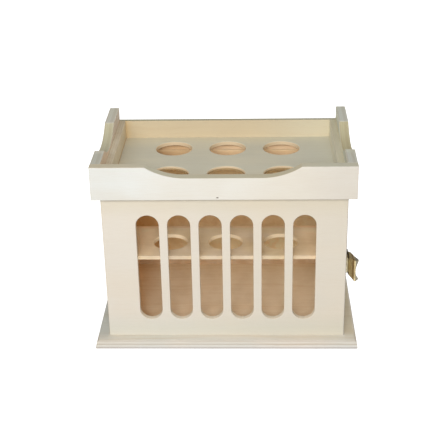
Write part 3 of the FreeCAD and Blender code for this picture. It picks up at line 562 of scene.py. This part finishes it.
def base_board():
    """The bead below is pale and its foot darkened as painted contact shade. The deck is greener on the left
    of the carcass, and the inside deeper orange to the left as painted shade.
    """
    deck = beyond(Z, BASE_TOP - 1.6, BASE_TOP - 0.8) * beyond(Y, -98.0, -74.0)
    # the bead's foot is darkened as painted contact shade
    bead, shaded_bead_foot = beyond(Z, 5.2, 4.4), beyond(Z, 3.9, 2.7)
    seam = Mask(lambda place: abs(place[Z] - 5.4).step(1.2, 0.4))
    in_front = beyond(Y, -82.0, -84.0)
    round_edge, flat_top = in_front * beyond(Z, 7.8, 8.6), in_front * beyond(Z, 9.1, 9.4)
    # painted shade in the inside's left corner
    shaded_corner = CAVITY * beyond(X, -78.0, -130.0)
    wood("base_board", X, PLINTH, PINKISH, 1.1,
         faces=[(deck * beyond(X, CARCASS_LEFT, CARCASS_LEFT - 2.0), MOSSY),
                (deck * beyond(X, CARCASS_RIGHT, CARCASS_RIGHT + 2.0), UMBER),
                (CAVITY, FLOOR_WARM), (shaded_corner, AMBER)],
         stains_and_painted_light=[(bead, (1.08, 1.12, 1.18)), (shaded_bead_foot, (0.80, 0.77, 0.77)), (seam, (0.91, 0.88, 0.86)),
                 (mottled(13.0) * CAVITY, (0.97, 0.96, 0.94)), (round_edge, (0.90, 0.88, 0.87)),
                 (flat_top, (1.16, 1.21, 1.25))])


def egg_tray_board():
    """Two rows of seats; the walls of the front row are dark low down, painted shade."""
    front_row, back_row = INNER_FRONT + 51.0, INNER_BACK - 34.5
    rows = ((front_row + back_row) / 2, back_row - front_row, 2)
    rim = seat_rim(20.25, (1.0, 60.5, 3), rows)
    # painted shade low in the front seats
    low_in_seats = Mask(lambda place: rim(place).step(1.2, 0.6)) * beyond(Z, TRAY_TOP - 1.8, TRAY_TOP - 2.6)
    front_half = beyond(Y, 0.0, -2.0)
    wood("egg_tray_board", X, STONE, YELLOWISH, 0.3, plies=3, rim=(rim, COMB),
         faces=[(beyond(X, 40.0, 110.0), STONE_RIGHT), WARM_INSIDE],
         stains_and_painted_light=[(low_in_seats * front_half, (0.56, 0.48, 0.35))])


def egg_shelf():
    """One row of seats. Lighter towards the back as painted light, up to a darker strip at the rear, and
    lighter and warmer at both ends as painted light.
    """
    only_row = INNER_FRONT + 33.5
    rim = seat_rim(18.25, (0.0, 59.5, 3), (only_row,))
    # the ends and the back part lightened, painted light
    left_end, right_end = beyond(X, -55.0, -95.0), beyond(X, 55.0, 95.0)
    back_part, rear_strip = beyond(Y, -45.0, -20.0), beyond(Y, -14.0, -7.0)
    front_edge = beyond(Y, INNER_FRONT + 1.2, INNER_FRONT + 0.4)
    wood("egg_shelf", X, SHELF, PINKISH, 0.5, plies=3, rim=(rim, HONEY),
         faces=[(left_end, SHELF_END), (right_end, SHELF_END)],
         stains_and_painted_light=[(back_part, (1.10, 1.14, 1.20)), (rear_strip, (1.0, 0.87, 0.77)),
                 (mottled(14.0) * CAVITY, (0.95, 0.94, 0.92)), (front_edge, (1.04, 1.07, 1.16)),
                 (front_edge * beyond(X, 68.0, 80.0), (0.91, 0.91, 0.92)),
                 (front_edge * beyond(X, -68.0, -80.0), (0.91, 0.92, 0.92))])


def cleats_and_rails():
    """The sticks that carry the tray and the shelf. The front and back cleats are a darker tone, darker still
    at the top and to the left, all painted shade under the tray, with a painted light strip along the lower
    arris.
    """
    for node in ("tray_cleat_left", "tray_cleat_right", "shelf_rail_left", "shelf_rail_right"):
        wood(node, Y, WARM, TAN, faces=[WARM_INSIDE])
    # painted shade under the tray, and painted light along the lower arris
    under_tray_shade = beyond(Z, TRAY_UNDER - 5.5, TRAY_UNDER - 0.8)
    lit_lower_arris = beyond(Z, TRAY_UNDER - 7.0, TRAY_UNDER - 8.0)
    for node in ("tray_cleat_front", "tray_cleat_back"):
        wood(node, X, CINNAMON, TAN,
             stains_and_painted_light=[(under_tray_shade, (0.44, 0.35, 0.26)), (lit_lower_arris, (1.10, 1.17, 1.25)),
                     (beyond(X, -35.0, -50.0), LEFT_PAINTED_SHADE)])


# ---- brass -----------------------------------------------------------------------------------------------

BRUSH_SHADE = (0.50, 0.42, 0.32)
BLACK_SPECK = (0.10, 0.07, 0.035)
# painted shade on upward faces
TOP_PAINTED_SHADE = (0.52, 0.48, 0.40)
# the lip's grey, partly its own colour and partly painted shade
GREY_LIP_PAINTED_SHADE = (0.20, 0.185, 0.15)
# painted shade line along the bend
BEND_PAINTED_SHADE = (0.50, 0.36, 0.22)
# painted shade beside the pin
PIN_PAINTED_SHADOW = (0.045, 0.03, 0.015)


class Brass(Finish):
    """Aged brass, brushed along one axis and browned in blotches, with its upward faces darkened as painted
    shade.
    """

    def __init__(self, name, light, dark, streak):
        super().__init__(name)
        self.at = self.place()
        long, fine = 14.0, 0.7
        stretched = [self.at[axis] / (long if axis == streak else fine) for axis in AXES]
        self.brushed = self.noise(self.point(*stretched), roughness=0.6)
        self.blotch = self.lumps(self.at, 4.0, 4.0, 0.6)
        self.specks = self.lumps(self.at, 0.6).step(0.62, 0.74)
        facing = self.node("ShaderNodeNewGeometry", output="Normal")
        upward = self.node("ShaderNodeSeparateXYZ", None, {0: facing}, Z)
        self.tone = light
        self.cover(dark, self.blotch.step(0.38, 0.66) * 0.65)
        self.tint(BRUSH_SHADE, self.brushed.step(0.42, 0.64) * 0.85)
        self.cover(BLACK_SPECK, self.specks * 0.45)
        # upward faces darkened, painted shade
        self.tint(TOP_PAINTED_SHADE, upward.step(0.3, 0.9))

    def bent(self, bend):
        """The sheet turns outward at a place along X: a painted shade line lies there, a light strip just
        beyond it is left as a painted highlight, and further on the lip is grey, partly its own colour and
        partly painted shade.
        """
        # grey lip partly painted shade, leaving a painted highlight next to the bend
        self.cover(GREY_LIP_PAINTED_SHADE, self.at[X].step(bend + 1.5, bend + 2.8) * 0.85)
        self.tint(BEND_PAINTED_SHADE, abs(self.at[X] - bend).step(0.9, 0.2))

    def pin_shadow(self, pin):
        """Painted shade, nearly black, where the side walls begin, in front of the pin."""
        by_door = abs(self.at[X] - (pin.x - 1.2)).step(3.2, 2.2)
        in_front = abs(self.at[Y] - (pin.y - 7.0)).step(9.5, 6.5)
        off_middle = abs(self.at[Z] - (pin.z + 0.8)).step(7.2, 8.4)
        # near-black painted shade
        self.cover(PIN_PAINTED_SHADOW, by_door * off_middle * in_front * 0.9)

    def surface(self):
        """Give the shader the tone, and the fine relief and sheen of old sheet."""
        stain = self.blotch.step(0.35, 0.65)
        roughness = self.brushed * 0.14 + 0.42 + stain * 0.10 + self.specks * 0.15
        height = self.brushed * 0.6 + self.blotch * 0.5 - self.specks * 0.4
        return self.set(Base_Color=self.tone, Metallic=0.65, Roughness=roughness,
                        Normal=self.bump(height, 0.03))


def lever_brass():
    """The lever's finish: handled bright, with painted shade in its bend and by its pin, and a painted
    highlight beside the bend.
    """
    finish = Brass("handled_brass", (0.92, 0.79, 0.46), (0.58, 0.46, 0.23), Z)
    flange = 5.8
    finish.bent(millimetres("latch_lever")[1].x - flange)
    finish.pin_shadow(sum(millimetres("latch_pin"), Vector()) / 2)
    return finish


def fittings():
    """The record's two brass slots first, then the pieces of the latch with finishes of their own: the lever
    with painted shade and highlight, the keeper paler as a painted highlight and the pin near-black as
    painted shade.
    """
    by_slot = {"antique_brass": Brass("antique_brass_sheet", (0.74, 0.60, 0.34), (0.45, 0.34, 0.17), Z),
               "brass_nail": Brass("brass_nail_heads", (0.70, 0.52, 0.22), (0.40, 0.27, 0.11), X)}
    by_node = {"latch_lever": lever_brass(),
               # the keeper's paler brass is a painted highlight
               "latch_keeper": Brass("keeper_brass_painted_highlight", (0.74, 0.68, 0.48), (0.50, 0.44, 0.29), Z),
               # the pin's near-black is painted shade
               "latch_pin": Brass("pin_painted_shade", (0.16, 0.11, 0.06), (0.06, 0.04, 0.02), Z)}
    slot_materials = {slot: finish.surface() for slot, finish in by_slot.items()}
    for item in frame["record"]["subparts"]:
        if item["material_slot"] in slot_materials:
            dress(item["node"], slot_materials[item["material_slot"]])
    for node, finish in by_node.items():
        dress(node, finish.surface())


# ---- brads -----------------------------------------------------------------------------------------------

class Tree:
    """A Geometry Nodes group with named inputs."""

    def __init__(self, name, inputs):
        self.group = bpy.data.node_groups.new(name, "GeometryNodeTree")
        self.identifiers = {}
        for label, kind in inputs:
            socket = self.group.interface.new_socket(label, in_out="INPUT", socket_type=kind)
            self.identifiers[label] = socket.identifier
        self.group.interface.new_socket("Geometry", in_out="OUTPUT", socket_type="NodeSocketGeometry")
        self.start = self.group.nodes.new("NodeGroupInput")
        self.end = self.group.nodes.new("NodeGroupOutput")

    def input(self, label):
        return self.start.outputs[label]

    def node(self, kind, settings=None, inputs=None):
        """Add a node: its settings first, then the values or links of its sockets."""
        made = self.group.nodes.new(kind)
        for name, setting in (settings or {}).items():
            setattr(made, name, setting)
        for key, content in (inputs or {}).items():
            self.feed(made.inputs[key], content)
        return made

    def feed(self, socket, content):
        """Give a socket a link, or a plain value of its own."""
        if isinstance(content, bpy.types.NodeSocket):
            self.group.links.new(content, socket)
        else:
            socket.default_value = content


def brad_tree(material):
    """Heads of brads along the edges of a wire mesh, each turned to its row's facing direction."""
    tree = Tree("brad_rows", [("Rows", "NodeSocketGeometry"), ("Spacing", "NodeSocketFloat"),
                              ("Head Radius", "NodeSocketFloat"), ("Head Height", "NodeSocketFloat"),
                              ("Unevenness", "NodeSocketFloat"), ("Seed", "NodeSocketInt")])
    rows = tree.node("GeometryNodeMeshToCurve", None, {"Mesh": tree.input("Rows")})
    spaced = tree.node("GeometryNodeResampleCurve", {"mode": "LENGTH"},
                       {"Curve": rows.outputs[0], "Length": tree.input("Spacing")})
    facing = tree.node("GeometryNodeInputNamedAttribute", {"data_type": "FLOAT_VECTOR"}, {"Name": "facing"})
    turn = tree.node("FunctionNodeAlignRotationToVector", {"axis": "Z"}, {"Vector": facing.outputs[0]})
    top = tree.node("ShaderNodeMath", {"operation": "MULTIPLY"}, {0: tree.input("Head Radius"), 1: 0.72})
    head = tree.node("GeometryNodeMeshCone", None,
                     {"Vertices": 20, "Side Segments": 1, "Radius Top": top.outputs[0],
                      "Radius Bottom": tree.input("Head Radius"), "Depth": tree.input("Head Height")})
    smallest = tree.node("ShaderNodeMath", {"operation": "SUBTRACT"}, {0: 1.0, 1: tree.input("Unevenness")})
    scale = tree.node("FunctionNodeRandomValue", {"data_type": "FLOAT"},
                      {2: smallest.outputs[0], 3: 1.0, "Seed": tree.input("Seed")})
    heads = tree.node("GeometryNodeInstanceOnPoints", None,
                      {"Points": spaced.outputs[0], "Instance": head.outputs["Mesh"],
                       "Rotation": turn.outputs[0], "Scale": scale.outputs[1]})
    real = tree.node("GeometryNodeRealizeInstances", None, {0: heads.outputs[0]})
    coloured = tree.node("GeometryNodeSetMaterial", None, {0: real.outputs[0], "Material": material})
    tree.feed(tree.end.inputs[0], coloured.outputs[0])
    return tree


def brad_rows():
    """Start, end and facing direction of each row, in millimetres.

    The rows run along the back's upright edges and through the side gallery boards. The last one is only a
    pair, near the lower edge of the front gallery board, whose two heads overlap.
    """
    sunk = 0.12
    edge_in = 4.75
    back = millimetres("back_panel")[1].y - sunk
    low, high = BASE_TOP + 14.0, CARCASS_TOP - 12.0
    rows = [((side, back, low), (side, back, high), (0, 1, 0))
            for side in (CARCASS_LEFT + edge_in, CARCASS_RIGHT - edge_in)]
    left, right = millimetres("tray_left_board")[0].x + sunk, millimetres("tray_right_board")[1].x - sunk
    level = (GALLERY_BOTTOM + CARCASS_TOP) / 2
    rows += [((side, GALLERY_FRONT + 22.0, level), (side, GALLERY_BACK - 16.0, level), (way, 0, 0))
             for side, way in ((left, -1), (right, 1))]
    front = millimetres("tray_front_board")[0].y + sunk
    level = GALLERY_BOTTOM + 2.7
    rows.append(((-6.6, front, level), (-5.6, front, level), (0, -1, 0)))
    return rows


def wire(rows):
    """Mesh with an edge for each row, whose points carry the row's facing direction."""
    points = [corner for start, end, way in rows for corner in (start, end)]
    ways = [way for start, end, way in rows for corner in (start, end)]
    mesh = bpy.data.meshes.new("brad_rows")
    mesh.from_pydata([[value * MM for value in point] for point in points],
                     [(n, n + 1) for n in range(0, len(points), 2)], [])
    facing = mesh.attributes.new("facing", "FLOAT_VECTOR", "POINT")
    for item, way in zip(facing.data, ways):
        item.vector = way
    return mesh


def brads():
    """Heads of the small steel brads that pin the boards, as one mesh."""
    finish = Finish("brad_steel")
    finish.set(Base_Color=(0.10, 0.075, 0.055), Metallic=0.4, Roughness=0.55)
    carrier = bpy.data.objects.new("brad_rows", wire(brad_rows()))
    bpy.context.scene.collection.objects.link(carrier)
    modifier = carrier.modifiers.new("brad_rows", "NODES")
    tree = brad_tree(finish.material)
    modifier.node_group = tree.group
    for label, value in (("Spacing", 36.0 * MM), ("Head Radius", 0.75 * MM), ("Head Height", 0.3 * MM),
                         ("Unevenness", 0.2), ("Seed", 4)):
        modifier[tree.identifiers[label]] = value
    bpy.context.view_layer.update()
    evaluated = carrier.evaluated_get(bpy.context.evaluated_depsgraph_get())
    heads = bpy.data.meshes.new_from_object(evaluated)
    bpy.data.objects.remove(carrier)
    piece = bpy.data.objects.new("brad_heads", heads)
    bpy.context.scene.collection.objects.link(piece)
    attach(piece, "cabinet")


# ---- floor, light and camera -----------------------------------------------------------------------------

def floor():
    """Wide pale floor, bright of its own, which throws no light back on the cabinet."""
    mesh = bpy.data.meshes.new("floor")
    reach = 12.0
    corners = [(-reach, -reach, 0), (reach, -reach, 0), (reach, reach, 0), (-reach, reach, 0)]
    mesh.from_pydata(corners, [], [(0, 1, 2, 3)])
    finish = Finish("pale_floor")
    finish.set(Base_Color=(0.90, 0.90, 0.90), Roughness=0.9, Emission_Color=(1.0, 1.0, 1.0),
               Emission_Strength=0.85)
    mesh.materials.append(finish.material)
    plane = bpy.data.objects.new("floor", mesh)
    bpy.context.scene.collection.objects.link(plane)
    plane.visible_diffuse = False


def lamp(name, place, target, width, height, power):
    """Rectangular soft lamp that faces a point."""
    light = bpy.data.lights.new(name, "AREA")
    light.shape = "RECTANGLE"
    light.size = width
    light.size_y = height
    light.energy = power
    lamp_object = bpy.data.objects.new(name, light)
    lamp_object.location = place
    lamp_object.rotation_euler = (Vector(target) - Vector(place)).to_track_quat("-Z", "Y").to_euler()
    bpy.context.scene.collection.objects.link(lamp_object)


def lights():
    """Two soft lamps in front, one behind on the right, and an even pale world."""
    middle = (0.0, 0.0, 0.10)
    lamp("front_window", (-0.42, -1.24, 0.87), middle, width=1.0, height=0.30, power=7.9)
    lamp("near_fill", (0.02, -1.31, 0.745), middle, width=0.5, height=0.30, power=7.9)
    lamp("rear_fill", (0.85, 1.00, 0.36), middle, width=1.0, height=0.50, power=3.5)
    world = bpy.data.worlds.new("studio")
    world.use_nodes = True
    background = world.node_tree.nodes["Background"]
    background.inputs["Color"].default_value = (1.0, 1.0, 1.0, 1.0)
    background.inputs["Strength"].default_value = 0.35
    bpy.context.scene.world = world
    bpy.context.scene.view_settings.view_transform = "Standard"


def camera():
    """Seen a little from above, almost square on to the front."""
    place = (0.0324, -1.0651, 0.6167)
    pitch, yaw, roll = (math.radians(angle) for angle in (25.408, -2.295, 1.208))
    # the focal length and the image's width are both in pixels
    focal, image_wide = 1055.95, 435.0
    forward = Vector((math.sin(yaw) * math.cos(pitch), math.cos(yaw) * math.cos(pitch), -math.sin(pitch)))
    level = Vector((math.cos(yaw), -math.sin(yaw), 0.0))
    down = forward.cross(level)
    right = level * math.cos(roll) + down * math.sin(roll)
    up = level * math.sin(roll) - down * math.cos(roll)
    data = bpy.data.cameras.new("camera")
    data.sensor_width = 36.0
    data.lens = data.sensor_width * focal / image_wide
    eye = bpy.data.objects.new("camera", data)
    turn = Matrix((right, up, -forward)).transposed()
    eye.matrix_world = Matrix.Translation(place) @ turn.to_4x4()
    bpy.context.scene.collection.objects.link(eye)
    bpy.context.scene.camera = eye


front_panel()
back_panel()
sides()
gallery()
base_board()
egg_tray_board()
egg_shelf()
cleats_and_rails()
fittings()
brads()
floor()
lights()
camera()
